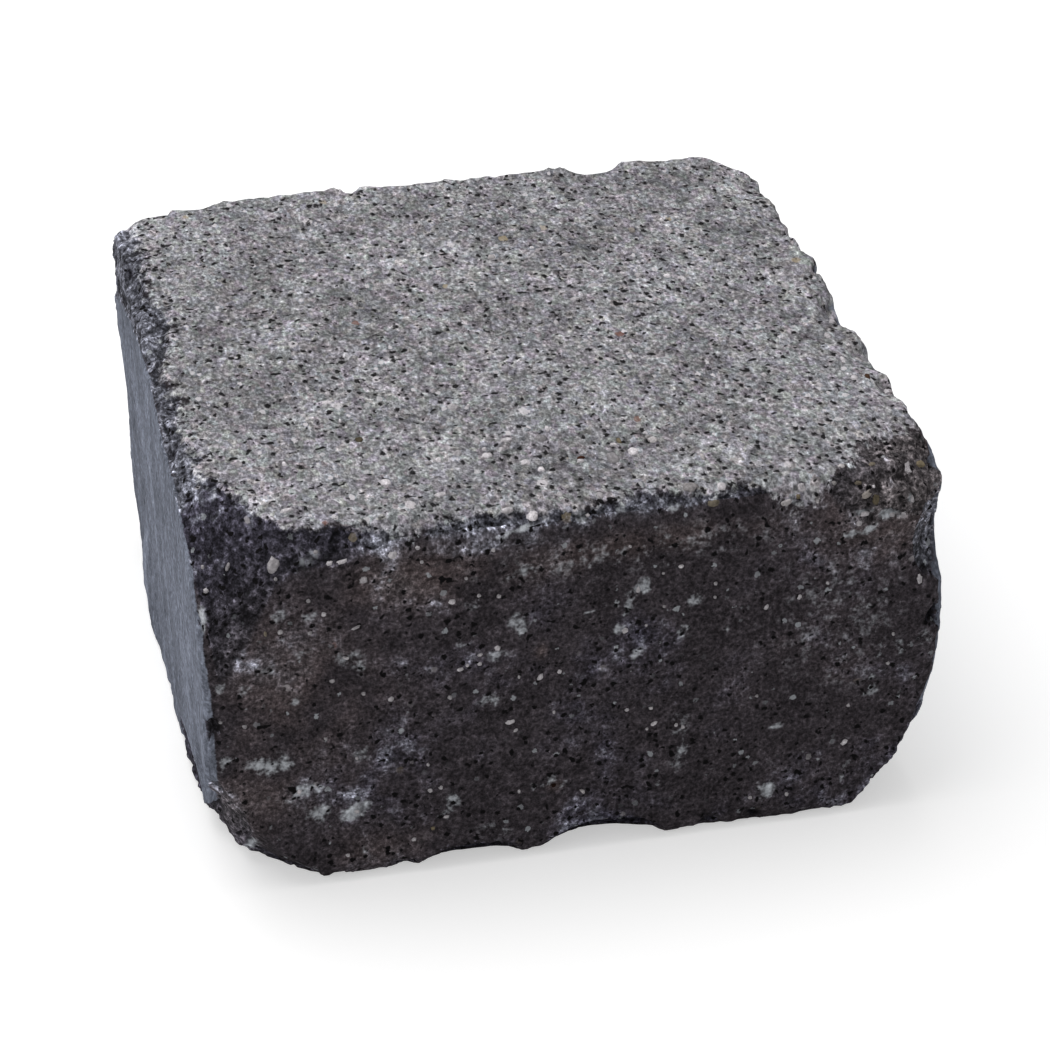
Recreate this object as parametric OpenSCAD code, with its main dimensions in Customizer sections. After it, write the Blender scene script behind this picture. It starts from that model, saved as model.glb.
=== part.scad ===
// Solid concrete wall block, cast as a plain rectangular block and then tumbled.
// The origin is the middle of the bed face. X runs along the width, +Y points to the back, +Z points up.

/* [Block] */
// Width of the block, left to right
block_w = 210; // [160:1:300]
// Depth of the block, front to back
block_d = 210; // [160:1:300]
// Height of the block, bed to top
block_h = 115; // [90:1:160]

/* [Worn arrises] */
// Wear radius of the arris between the top and the front
top_front_wear = 8; // [3:0.5:10]
// Wear radius of the arris between the top and the left side
top_left_wear = 3; // [2:0.5:8]
// Wear radius of the other two arrises round the top
top_wear = 3.5; // [2:0.5:8]
// Wear radius of the front and back arrises of the bed
bed_wear = 6; // [2:0.5:9]
// Wear radius of the right arris of the bed, which took the most rubbing
bed_right_wear = 16; // [4:0.5:20]
// Wear radius of the upright arrises of the right side
right_upright_wear = 4; // [2:0.5:9]
// Wear radius of the bed and upright arrises of the left side, which stayed crisp
left_wear = 2.5; // [1.5:0.5:8]

/* [Knocked corners] */
// Size of the knocks that took off the corners, 1 is as tumbled
knock_size = 1; // [0.6:0.05:1.2]

/* [Flaked arrises] */
// Depth of the flakes struck off the arrises, 1 is as tumbled
flake_depth = 1; // [0.4:0.1:1.4]

/* [Hidden] */
$fn = 96;
half_w = block_w / 2;
half_d = block_d / 2;
// How far a cutter reaches past what it cuts
clear = 1;
// The knocks below are drawn for a block of this size, and on a smaller one
// they shrink with it
drawn_w = 210;
drawn_d = 210;
drawn_h = 115;
run_scale = knock_size * min(block_w / drawn_w, block_d / drawn_d, block_h / drawn_h);

// Knocked corners: [side, depth side, height side], then how far the knock
// runs from the sharp corner along the width, the depth and the height, then
// how round it is: the ball's radius as a share of the three runs' diagonal
KNOCKS = [
    [[-1, -1, 1], [44, 56, 28], 1.4],   // front left top
    [[1, -1, 1], [44, 26, 16], 1.2],    // front right top
    [[1, -1, -1], [26, 38, 64], 1.5],   // front right bed, the steepest
    [[-1, -1, -1], [38, 68, 70], 0.95], // front left bed, the biggest
    [[-1, 1, 1], [42, 18, 15], 2],      // back left top
    [[1, 1, 1], [30, 36, 20], 1],       // back right top
    [[-1, 1, -1], [14, 46, 64], 2.5],   // back left bed
    [[1, 1, -1], [18, 26, 30], 0.9]     // back right bed
];

// Flakes along an arris: place of the flake on the block as shares of the half
// width, half depth and height, then the flake's ball radius and its depth
FLAKES = [
    [[-0.5, -1, 1], 52, 6],          // front top arris, from left to right
    [[-0.16, -1, 1], 44, 4.5],
    [[0.2, -1, 1], 50, 4],
    [[-1, -0.45, 1], 60, 3],         // left top arris, from front to back
    [[-1, 0.05, 1], 36, 3],
    [[-1, 0.5, 1], 70, 3.5],
    [[1, -0.08, 1], 22, 6.5],        // right top arris
    [[1, 0.32, 1], 60, 2.5],
    [[-0.1, 1, 1], 36, 3],           // back top arris
    [[0.5, 1, 1], 16, 6],
    [[-0.75, 1, 1], 18, 5],
    [[-0.3, -1, 0], 38, 6],          // front bed arris
    [[0.08, -1, 0], 34, 8],
    [[0.4, -1, 0], 28, 3],
    [[1, -1, 0.8], 22, 8],           // front right upright arris
    [[1, -1, 0.66], 26, 2.5],
    [[1, 0.3, 0], 50, 7],            // right and back bed arrises
    [[-0.4, 1, 0], 36, 4],
    [[1, 1, 0.5], 30, 3],            // back upright arrises
    [[-1, 1, 0.42], 60, 5]
];

// Rectangle from low to high with its four corners rounded, each to its own
// radius: low left, low right, high right, high left
module worn_outline(low, high, radii) {
    corners = [low, [high[0], low[1]], high, [low[0], high[1]]];
    inward = [[1, 1], [-1, 1], [-1, -1], [1, -1]];
    difference() {
        translate(low) square(high - low);
        for (i = [0:3])
            difference() {
                translate(corners[i]) square(2 * radii[i], center = true);
                translate(corners[i] + radii[i] * inward[i]) circle(radii[i]);
            }
    }
}

// The cast block with its twelve arrises worn round: three worn outlines, one
// along each axis, and what is inside all three
module worn_block() {
    intersection() {
        linear_extrude(block_h)
            worn_outline([-half_w, -half_d], [half_w, half_d],
                [left_wear, right_upright_wear, right_upright_wear, left_wear]);
        translate([0, half_d + clear, 0]) rotate([90, 0, 0]) linear_extrude(block_d + 2 * clear)
            worn_outline([-half_w, 0], [half_w, block_h],
                [left_wear, bed_right_wear, top_wear, top_left_wear]);
        translate([-half_w - clear, 0, 0]) rotate([90, 0, 90]) linear_extrude(block_w + 2 * clear)
            worn_outline([-half_d, 0], [half_d, block_h],
                [bed_wear, bed_wear, top_wear, top_front_wear]);
    }
}

// Middle of a ball of that radius that passes through the three points where
// the knock meets the arrises, for a corner at the origin with the block in +X +Y +Z
function knock_centre(runs, radius) =
    let (
        a = [runs[0], 0, 0],
        ab = [-runs[0], runs[1], 0],
        ac = [-runs[0], 0, runs[2]],
        n = cross(ab, ac),
        flat = a + (cross(n, ab) * (ac * ac) + cross(ac, n) * (ab * ab)) / (2 * (n * n)),
        ring = norm(flat - a)
    ) flat + n / norm(n) * sqrt(radius * radius - ring * ring);

// What a knock takes off: the corner of the block that lies outside a large ball
module corner_knock(side, runs, roundness) {
    radius = roundness * norm(runs);
    translate([side[0] * half_w, side[1] * half_d, side[2] > 0 ? block_h : 0])
        mirror([side[0] > 0 ? 1 : 0, 0, 0])
            mirror([0, side[1] > 0 ? 1 : 0, 0])
                mirror([0, 0, side[2] > 0 ? 1 : 0])
                    difference() {
                        cube(2 * (runs + [clear, clear, clear]), center = true);
                        translate(knock_centre(runs, radius)) sphere(radius);
                    }
}

// What a flake takes off: a ball that dips into the arris at its place
module arris_flake(place, radius, depth) {
    point = [place[0] * half_w, place[1] * half_d, place[2] * block_h];
    // The way out of the block at that arris
    out = [
        abs(place[0]) == 1 ? place[0] : 0,
        abs(place[1]) == 1 ? place[1] : 0,
        place[2] == 1 ? 1 : (place[2] == 0 ? -1 : 0)
    ];
    translate(point + out / norm(out) * (radius - depth)) sphere(radius);
}

// The whole block: cast, worn, knocked and flaked
module block() {
    color("dimgray") difference() {
        worn_block();
        for (knock = KNOCKS) corner_knock(knock[0], knock[1] * run_scale, knock[2]);
        for (flake = FLAKES) arris_flake(flake[0], flake[1], flake[2] * flake_depth);
    }
}

block();
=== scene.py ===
"""Tumbled concrete wall block: the finish of the block, the floor it stands on, the light and the camera.

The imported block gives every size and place. The block's piece is a fine mesh laid on it, roughened where
the tumbling drum broke the concrete, with one concrete material that knows the top skin, the cast faces
and the broken concrete apart.
"""

import math
from functools import reduce

import bpy
import numpy as np
from bpy.props import FloatProperty, FloatVectorProperty, PointerProperty
from mathutils import Matrix, Vector, noise
from mathutils.bvhtree import BVHTree
from mathutils.kdtree import KDTree


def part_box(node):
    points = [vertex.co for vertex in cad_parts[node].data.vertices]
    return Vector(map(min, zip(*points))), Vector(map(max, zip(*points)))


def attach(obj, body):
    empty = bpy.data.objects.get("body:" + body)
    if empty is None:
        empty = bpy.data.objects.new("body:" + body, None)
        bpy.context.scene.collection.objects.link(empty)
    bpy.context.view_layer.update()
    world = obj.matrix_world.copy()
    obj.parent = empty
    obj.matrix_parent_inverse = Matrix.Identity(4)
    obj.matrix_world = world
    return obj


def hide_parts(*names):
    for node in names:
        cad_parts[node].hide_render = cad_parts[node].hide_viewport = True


bl_info = {
    "name": "Tumbled Wall Block",
    "version": (1, 0, 0),
    "blender": (4, 5, 0),
    "location": "3D View > Sidebar > Wall Block",
    "description": "Builds a tumbled concrete wall block with its finish, floor, light and camera",
    "category": "Add Mesh",
}

MM = 0.001
NODE = "block"

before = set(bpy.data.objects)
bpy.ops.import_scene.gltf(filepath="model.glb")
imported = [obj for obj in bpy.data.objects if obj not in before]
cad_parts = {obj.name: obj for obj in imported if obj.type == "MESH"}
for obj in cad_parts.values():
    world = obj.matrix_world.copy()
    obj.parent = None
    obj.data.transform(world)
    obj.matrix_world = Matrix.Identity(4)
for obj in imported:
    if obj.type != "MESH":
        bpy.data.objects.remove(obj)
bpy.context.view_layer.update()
BLOCK_LOW, BLOCK_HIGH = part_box(NODE)
BLOCK_SIZE = BLOCK_HIGH - BLOCK_LOW
BLOCK_MIDDLE = (BLOCK_LOW + BLOCK_HIGH) / 2

# The marks and breaks below are drawn on the sharp block as seen from this place in front of it, and
# carried in along the line of sight onto the worn one
SEEN_FROM = Vector((-0.165, -0.78, 0.548))

# Lime smeared on the front: place right of the middle and above the bed, width and height in millimetres,
# lean in degrees, strength
LIME_MARKS = (
    (-75, 110, 7, 8, 0, 0.5), (-83, 92, 4, 5, 0, 0.6), (-75, 91.5, 4, 3, 0, 0.6),
    (-76.5, 79.5, 4, 3, 0, 0.5), (-64.5, 76.5, 5, 2.5, -15, 1), (-64.5, 76.5, 9, 5, -10, 0.4),
    (-87.5, 75.5, 8, 4, 10, 0.4), (-61.5, 72.5, 4, 4, 0, 0.5), (-99.5, 71.5, 3.5, 2, 0, 0.9),
    (-93, 70.5, 7, 4, 0, 0.4), (-79, 64.5, 4, 2, 20, 0.5), (-48.5, 69, 2, 5, 0, 0.5),
    (-99.5, 46.5, 4, 4, 0, 0.7), (-87, 44, 12, 6, 0, 0.7), (-61, 44.5, 6, 4, 8, 0.7),
    (-78, 33, 16, 7, 20, 0.4), (-79.5, 33.5, 3, 4, 0, 1), (-72.5, 34, 3, 3, 0, 0.6),
    (-74, 25.5, 6, 5, 0, 0.9), (-64, 24.5, 8, 4, 20, 1), (-94, 18.5, 7, 3, 0, 0.5),
    (-79, 8, 6, 2, -20, 0.5), (-63, 10.5, 4, 4, 0, 0.5), (-13.5, 106, 6, 3, 12, 0.45),
    (-15.5, 98, 9, 3, 12, 0.7), (-17, 111.5, 13, 2, 18, 0.8), (-30, 89.5, 3, 3, 0, 0.7),
    (-17.5, 82, 4, 4, 0, 0.7), (-15.5, 79.5, 3, 2.5, 0, 0.8), (-32.5, 77.5, 5, 3, 0, 0.4),
    (-24, 71, 8, 3, 0, 0.5), (-25.5, 57.5, 6, 5, 0, 0.5), (14, 82, 2.5, 6, 5, 0.8),
    (18.5, 88.5, 3, 4, 0, 0.9), (15.5, 86, 3, 4, -20, 0.7), (11, 75, 3, 3, 0, 0.8),
    (16, 65.5, 4, 4.5, 0, 0.7), (26, 95.5, 4, 2, 0, 0.5), (29.5, 72, 4, 5, 0, 0.45), (33, 82, 4, 5, 0, 0.5),
    (41.5, 71, 3, 1.5, 0, 0.5), (39, 58.5, 3, 1.5, 30, 0.5), (87.5, 56.5, 2, 5, 0, 0.6),
    (93, 58.5, 3, 3, 0, 0.6), (94, 55.5, 3, 3, 0, 0.6), (100, 60, 4, 4, 0, 0.6), (86, 43.5, 4, 3.5, 0, 0.8),
    (86.5, 48, 2, 2, 0, 0.7), (58.5, 34.5, 4, 2, 0, 0.6), (-36, 23.5, 4, 5, 0, 0.7),
    (-39, 20, 6, 2, 10, 0.5), (-7.5, 27.5, 3, 3, 0, 0.7), (-4, 25, 4, 1.5, 25, 0.7),
    (-11, 25.5, 5, 3, 0, 0.6), (30.5, 32, 3.5, 6, 0, 0.7), (29.5, 35, 6, 20, 0, 0.35),
    (24, 20, 2, 4, 0, 0.5), (-24, 12, 9, 5, 0, 0.4), (56, 12.5, 5, 5.5, 0, 0.9), (78.5, 13.5, 3, 4, 0, 0.5),
    (80.5, 17.5, 4, 4, 0, 0.35), (0.5, 115, 3, 4, 0, 0.8), (1, 113, 3.5, 4, 0, 0.7),
    (-4, 110.5, 2, 2, 0, 0.7), (11, 114, 3, 3.5, 0, 0.7), (26, 113, 5, 3.5, 0, 0.5),
    (25, 103.5, 5, 3, 0, 0.4), (88.5, 102, 6, 2.5, 0, 0.8), (77, 97, 5, 1.8, -10, 0.9),
    (82, 98, 5, 1.8, 35, 0.9), (80.5, 103.5, 5, 2.5, 0, 0.9), (94, 106.5, 2, 4, 10, 0.5),
    (-103.5, 95, 2, 8, 0, 0.7), (57.5, 110, 5, 3, 10, 0.6), (15, 100, 110, 14, 4, 0.2),
    (75, 70, 50, 60, 0, 0.16),
)

# Browner patches on the front, in the same way
WARM_MARKS = (
    (-95, 32, 40, 28, 0, 0.6), (-80, 70, 50, 60, 0, 0.6), (-45, 100, 50, 20, 0, 0.8),
    (-60, 10, 40, 16, 0, 0.5), (15, 102, 90, 12, 5, 0.8), (70, 60, 50, 60, 0, 0.2),
    (95, 108, 60, 40, 0, 0.9), (95, 125, 60, 30, 0, 0.9), (-54, 107, 4, 4, 0, 1),
    (-10.5, 71, 4, 5, 0, 1), (-6.8, 24.5, 5, 4, 0, 1),
)

# Pale stones that show on the front: place right of the middle and above the bed, width and height in
# millimetres, lean in degrees, paleness, warmth
FRONT_STONES = (
    (-102, 111.5, 1.2, 1.4, 0, 0.7, 0), (-95.5, 110.5, 1.3, 2.5, -20, 0.6, 0),
    (-83.5, 109, 3.4, 5, -10, 0.7, 0), (-101.5, 104, 1.9, 1.5, 20, 0.8, 0), (-83, 105, 1.1, 1.1, 0, 0.6, 0),
    (-68.5, 108, 1.9, 1.5, 10, 1, 0), (-65, 108, 3.3, 1.2, 12, 0.9, 0),
    (-59.5, 101.5, 2.6, 2.3, 0, 0.7, 0.2), (-51.5, 108, 2.5, 2.2, 10, 0.9, 0),
    (-44.5, 109.5, 1.3, 1.2, 0, 0.7, 0.2), (-43.5, 105, 1.1, 1.1, 0, 0.7, 0),
    (-74.5, 97, 1.3, 1.3, 0, 0.7, 0), (-70.5, 92, 1.5, 1.5, 0, 0.9, 0), (-82.5, 88, 1.9, 1.5, 10, 0.8, 0),
    (-86.5, 88, 0.9, 1.6, 0, 0.6, 0.6), (-74.5, 86.5, 1.3, 1.2, 0, 0.6, 0), (-62, 86.5, 3, 0.9, 25, 0.8, 0),
    (-69, 70, 1.6, 1.4, 20, 0.6, 0), (-60.5, 64.5, 1.3, 1.2, 0, 0.7, 0), (-53, 61.5, 2, 1.9, 30, 0.8, 0),
    (-31.5, 98, 1.1, 1, 0, 0.7, 0), (-24, 106, 1.3, 1.3, 20, 0.8, 0), (-28, 92, 1.3, 1.2, 30, 0.8, 0),
    (-22.5, 91, 1.3, 1.3, 0, 0.8, 0), (-35.5, 91, 2.1, 1.8, -20, 1, 0), (-23, 74, 2, 1.8, -20, 0.8, 0),
    (-28, 72.5, 1.6, 1, 10, 0.9, 0), (-28, 69.5, 1.5, 1.2, 0, 0.8, 0), (-31.5, 69.5, 1.1, 1, 30, 0.8, 0),
    (-33.5, 68.5, 2.1, 1.2, 10, 1, 0.1), (-5.5, 63.5, 1.4, 1.3, -20, 1, 0),
    (-11, 62.5, 2.5, 1.8, 40, 0.9, 0), (-17, 63.5, 0.9, 1.3, 0, 0.8, 0),
    (-36.5, 59.5, 1.5, 1.4, -10, 0.7, 0), (16.5, 87.5, 1.2, 2, -15, 0.9, 0), (13, 74.5, 2, 1.9, 30, 1, 0),
    (19, 75.5, 0.9, 0.9, 0, 0.8, 0), (28.5, 93.5, 1.7, 1.2, 10, 1, 0), (14, 102, 0.9, 0.9, 0, 0.8, 0),
    (24, 81, 1.1, 1, 0, 0.6, 0), (23.5, 92, 0.9, 0.8, 0, 0.7, 0), (98, 79.5, 1.7, 3.3, 5, 0.9, 0),
    (71, 82, 1.1, 1.1, 0, 0.9, 0), (63, 78.5, 1.2, 1.9, -35, 1, 0), (53.5, 76.5, 1.2, 2, -30, 1, 0),
    (38.5, 86.5, 1.3, 1.2, 0, 0.8, 0), (38.5, 82, 1, 1.1, 0, 0.8, 0), (91.5, 62, 0.9, 1.5, 0, 0.8, 0),
    (90.5, 52, 1.2, 1.2, 0, 0.7, 0), (79.5, 39, 1.2, 1.1, 30, 0.9, 0), (52, 46.5, 1, 1, 0, 0.7, 0),
    (-100, 61, 1.3, 0.9, 0, 0.6, 0.3), (-93.5, 58.5, 1.5, 1.3, 0, 0.6, 0), (-63, 43, 1.1, 1, 20, 0.8, 0),
    (-71.5, 51, 1.1, 1, 0, 0.7, 0), (-66.5, 9.5, 1.3, 1.1, 0, 0.8, 0), (-47.5, 12, 1.6, 1.3, 20, 0.8, 0),
    (-42.5, 28.5, 1.5, 1.4, 0, 0.9, 0), (-43, 37.5, 1.1, 1, -30, 0.8, 0), (-42, 15, 1.4, 1.2, 40, 0.6, 0.7),
    (-39.5, 29, 1.3, 1.2, 0, 0.9, 0), (-38, 18.5, 1.9, 1, 10, 0.9, 0), (-19.5, 48.5, 3, 1.4, 10, 1, 0),
    (-18, 45.5, 1.6, 1, 30, 0.9, 0), (-17, 24, 0.9, 1.3, 0, 0.8, 0), (1.5, 21, 1.1, 2.1, 45, 0.8, 0.4),
    (-7, 50, 0.9, 1.3, 0, 0.8, 0), (14, 47.5, 1.4, 0.9, 20, 0.9, 0), (21, 47, 1.3, 1.1, 0, 0.8, 0),
    (22, 41.5, 2.1, 1.1, 22, 1, 0), (20, 40, 0.9, 0.9, 0, 0.8, 0), (28.5, 40, 1.2, 1.2, 0, 0.9, 0),
    (30.5, 39, 1.5, 1.2, 0, 0.8, 0), (79, 26, 1.8, 2.6, -35, 1, 0), (51.5, 10.5, 1.4, 1.1, 10, 0.8, 0),
    (62.5, 10, 1.2, 1.5, 0, 0.8, 0), (68.5, 22.5, 1.8, 2.4, 0, 0.35, 0), (-7, 24.5, 1.5, 1.4, 0, 0.1, 1),
    (-65, 77, 2, 1, -20, 1, 0), (-79.5, 34, 1.5, 1.8, -20, 1, 0), (-63.5, 24.5, 1.6, 1.2, 0, 1, 0),
    (-72, 112, 1.2, 1.1, 0, 0.6, 0), (78, 113.5, 2.2, 1.8, 0, 0.5, 0.6), (71, 114.5, 1.5, 1.4, 0, 0.6, 0.4),
    (82.5, 112, 1, 1, 0, 1, 0), (80.5, 109.5, 3.4, 2.5, 20, 0.8, 0.5), (83.5, 107.5, 2, 3.8, -15, 0.4, 0.8),
    (80.5, 103.5, 3, 1.8, 0, 0.9, 0), (79, 100.5, 2, 1.8, 0, 0.8, 0), (88.5, 102, 1.7, 1.3, 0, 0.8, 0),
    (94, 106.5, 1, 2.6, 10, 0.7, 0.1), (62, 114, 2.5, 2.9, 20, 0.9, 0.2),
    (61, 111.5, 1.5, 1.3, 0, 0.5, 0.8), (57.5, 110, 3.4, 1.8, 10, 0.8, 0.4),
    (37, 112.5, 3.3, 2.2, 0, 0.5, 0.6), (2, 113.5, 1.3, 1.3, 0, 0.9, 0),
)

# Pale stones that show on the top, in the same way, but placed right of and behind the middle
TOP_STONES = (
    (-56, -27.5, 1.8, 2.2, 0, 0.7, 0), (-57, -32.5, 3.5, 2.2, 0, 1, 0), (-64.5, -38.5, 1.5, 2, 0, 0.8, 0.2),
    (-22.5, -42.5, 3.2, 4, 0, 0.6, 0), (-18, -43, 1.2, 1.6, 0, 0.7, 0), (-19.5, -62.5, 1.5, 4, 0, 0.6, 0),
    (-32, -70.5, 1.8, 3, 0, 0.9, 0), (-35, -71.5, 2.5, 2, 0, 0.5, 0), (-48.5, -79, 3.1, 3.6, 0, 0.95, 0.1),
    (-35, -88.5, 4, 2, 10, 0.8, 0.2), (-26, -68, 2.3, 3, 0, 0.5, 0), (-18.5, -71, 3.4, 3, 0, 0.9, 0.1),
    (-18.5, -67.5, 1.4, 1.6, 0, 0.8, 0), (-11.5, -64, 4, 2.4, 0, 0.7, 0), (-14, -68.5, 1.3, 2, 0, 0.8, 0),
    (-9, -77, 3.1, 2.8, 0, 0.95, 0), (-5.5, -81.5, 2, 2.6, 0, 1, 0), (1, -60.5, 1.5, 4, 0, 0.8, 0),
    (-2, -65, 4, 3.6, 0, 0.35, 0.1), (6, -79.5, 2.3, 2, 0, 0.8, 0.1), (6.5, -78, 2.7, 1.6, 0, 0.3, 1),
    (17, -73, 2.4, 1.8, 0, 0.8, 0.3), (19, -71, 1.5, 3, 0, 0.45, 0.75), (21.5, -77.5, 3.2, 4, 0, 1, 0),
    (15, -79.5, 4, 6, 0, 0.4, 0), (28.5, -72.5, 2.9, 3.4, 0, 0.75, 0.4), (37, -72.5, 2, 2.4, 0, 0.7, 0.3),
    (39.5, -84.5, 1.5, 4, 0, 0.6, 0.4), (32, -99, 4.6, 4, 0, 0.4, 0.4), (40.5, -100.5, 2.8, 3, 0, 0.8, 0),
    (43.5, -95.5, 1.6, 2.2, 0, 0.7, 0), (-13, -104, 3.3, 4, 0, 1, 0), (-19, -100, 3.4, 2, 0, 0.7, 0),
    (-3.5, -95.5, 1.8, 2.6, 0, 0.7, 0.3), (7, -98, 2.2, 3, 0, 0.6, 0), (-74, -63.5, 1.4, 2.4, 0, 1, 0),
    (-55, -43.5, 0.9, 1.6, 0, 1, 0), (-39, -44.5, 0.9, 1.6, 0, 0.9, 0), (-49, -61, 0.9, 1.6, 0, 0.9, 0),
    (-77, -87.5, 4, 2, 12, 0.8, 0.1), (-86, -61, 2.2, 3, 0, 0.5, 0), (-51.5, -55, 2.3, 3, 0, 0.2, 0.8),
    (24.5, 67, 2, 4, 0, 0.6, 0.1), (7.5, 46, 2.6, 3, 0, 0.6, 0.4), (30.5, 42.5, 2.6, 2, 0, 0.7, 0),
    (54.5, 54.5, 2.6, 4, 0, 0.5, 0.5), (48, 50, 0.9, 1.8, 0, 1, 0), (49, 24.5, 2.6, 2.6, 0, 0.7, 0),
    (57.5, 22, 2.6, 2.6, 0, 0.9, 0), (75.5, 26, 1.8, 2.2, 0, 0.7, 0), (73.5, 1, 1.5, 3, 0, 0.8, 0.2),
    (34, 21, 3.2, 2, 0, 0.7, 0), (26.5, 13.5, 3.6, 2, 0, 0.7, 0.2), (17.5, 0, 1.6, 3, 0, 0.7, 0),
    (91, 8, 2.3, 4, 0, 0.6, 0.2), (94, -25, 2.5, 3.6, 0, 0.6, 0), (94, -40, 1.6, 4, 0, 0.8, 0),
    (94, -51, 2.5, 3, 0, 0.7, 0), (98, -51, 1.8, 2.6, 0, 0.3, 0.9), (69, -44, 1.6, 2.8, 0, 0.8, 0),
    (83, -53, 1.8, 3, 20, 0.7, 0), (98, -17, 2, 2.8, 0, 0.7, 0), (75.5, -97.5, 2.1, 1.6, 0, 0.8, 0.4),
    (84, -98.5, 2.1, 1.6, 0, 0.5, 0.6), (97, -101, 2.8, 2.4, 0, 0.5, 0.8),
)

# The break along the arris between the top and the front, in millimetres: place right of the middle, how
# far the skin is gone on the top, how far the broken concrete reaches down the front. Below zero, the
# top's skin laps down the front instead.
FRONT_BREAK = (
    (-105, 34, 44), (-97, 33, 40), (-91, 30, 30), (-87, 25, 20), (-84, 17, 13), (-79, 10, 9),
    (-72, 8, 8), (-65, 7, 7), (-60, 5, 5), (-55, 3, 3), (-50, 0, 1), (-45, -3, 2), (-40, 2, 2),
    (-34, 4, 2), (-25, 4, 1), (-18, 4, 2), (-13, 1, 3), (-6, 4, 3), (0, 0, 3), (5, 3, 2), (12, 4, 1),
    (18, 7, 1), (25, 6, 1), (31, 3, 2), (37, 1, 1), (41, 2, 0), (46, 6, 0), (51, 2, -2), (56, -4, -5),
    (61, -8, -9), (66, -5, -4), (70, 0, 3), (74, 6, 10), (79, 10, 14), (84, 17, 16), (90, 21, 14),
    (97, 23, 13), (105, 25, 14),
)

# The break along the arris between the top and the left side, in the same way: place behind the middle, how
# far on the top, how far down the side
LEFT_BREAK = (
    (-105, 12, 2), (-75, 14, 0.5), (-70, 12, 0), (-65, 8, 0), (-60, 7.5, 0), (-54, 8.5, 0), (-47, 7, 0),
    (-40, 5.5, 0), (-30, 6, 0), (-20, 8, 0), (-14, 6, 0), (-8, 4, -1), (0, 4, 0), (6, 8, 1),
    (15, 8, 2), (22, 10, 4), (28, 11.5, 5), (34, 9, 6), (40, 6, 7.5), (48, 6, 9.5), (56, 6, 12),
    (66, 7, 15), (78, 7, 18), (88, 6, 22), (95, 8, 26), (105, 10, 31),
)

# How far the top's skin is gone beside the back arris, by the place right of the middle, and beside the
# right arris, by the place behind the middle
BACK_GONE = ((-105, 7), (-95, 6), (-87, 5), (-83, -6), (105, -6))
RIGHT_GONE = ((-105, 24), (-88, 8), (-80, 0), (-70, -4), (-60, -6), (105, -6))

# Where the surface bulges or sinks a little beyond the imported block, in millimetres: place right of the
# middle, behind it and above the bed, reach, height
SWELLS = (
    (43, 105, 113, 10, 1.6), (65, 105, 113, 12, 1), (92, 102, 112, 10, 1.4), (102, 76, 113, 10, -1.6),
    (104, 24, 113, 11, 0.9), (103, -39, 113, 11, -1.6), (103, -58, 113, 10, -1),
    (101, -80, 112, 10, -0.8), (102, -97, 109, 10, 0.9), (105, -104, 62, 26, 1.6),
    (-105, 105, 50, 32, -1.3), (-105, 45, 4, 34, 1.4), (-100, 103, 113, 11, 1.6),
    (-78, 105, 113, 8, 1.2), (100, -98, 16, 22, 1.2), (-103, -64, 3, 24, -2.2),
    (104, 50, 113, 14, -0.6), (-90, 104, 112, 6, -0.6), (-29, 103, 113, 8, 0.5), (104, -103, 95, 9, 1),
    (105, -103, 103, 8, -1.2), (-105, -87, 22, 20, -4),
    (-103, -77, 17, 12, -2.2), (-95, -87, 4, 14, 1.6), (-105, 62, 36, 26, -0.9),
)

# Middle of the small spall on the bed arris of the left side, beside its knocked corner, its reach, and what
# distances along each axis are multiplied by, so that below 1 it reaches further that way
SPALL = np.array([-104, -48, 1]) * MM
SPALL_REACH = 16 * MM
SPALL_STRETCH = (1, 0.8, 1)

# How near a face of the sharp block a point counts as on it, and how deep the wear goes at most
ON_FACE = 0.001 * MM
DEEPEST_WEAR = 40 * MM

# How much an arris crumbles before its skin is gone, and how wide a border that makes
CRUMB_SHOWS = 0.35
CRUMB_WIDTH = 9 * MM

# The stones set in the surface: half their height, how far they are sunk, how uneven their rims are, and
# how much less pale those of the front are
STONE_STANDS = 0.8 * MM
STONE_SUNK = 0.15 * MM
STONE_UNEVEN = 0.16
FRONT_PALENESS = 0.7

# The concrete's grain: what places along each axis are multiplied by, which draws it out front to back, the
# size of its slow patches, of the lime's streaks and of the mould's scratches, and how much a noise is
# stretched to run from about 0 to 1
GRAIN_STRETCH = (1.0, 0.7, 1.0)
PATCH_SIZE = 22 * MM
LIME_SIZE = 16 * MM
MOULD_MARK_SIZE = 1.2 * MM
NOISE_STRETCH = 2.6
WHITE = (1.0, 1.0, 1.0, 1.0)

# The stage: how far the floor reaches, in block widths, and how far it lies below the bed, then each soft
# lamp's place from the middle of the block and its size
FLOOR_REACH = 20
FLOOR_DROP = 0.1 * MM
TOP_LAMP_AT, TOP_LAMP_SIZE = Vector((-0.35, 0.25, 1.3)), 1.2
SIDE_LAMP_AT, SIDE_LAMP_SIZE = Vector((-1.4, -0.5, 0.5)), 0.9


# ---------------------------------------------------------------------------------------------- settings


def length(name, description, default):
    """A size in metres."""
    return FloatProperty(name=name, description=description, default=default, min=0, unit="LENGTH",
                         precision=5)


def colour(name, description, default):
    """A linear colour."""
    return FloatVectorProperty(name=name, description=description, default=default, size=3, min=0, max=1,
                               subtype="COLOR")


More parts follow.
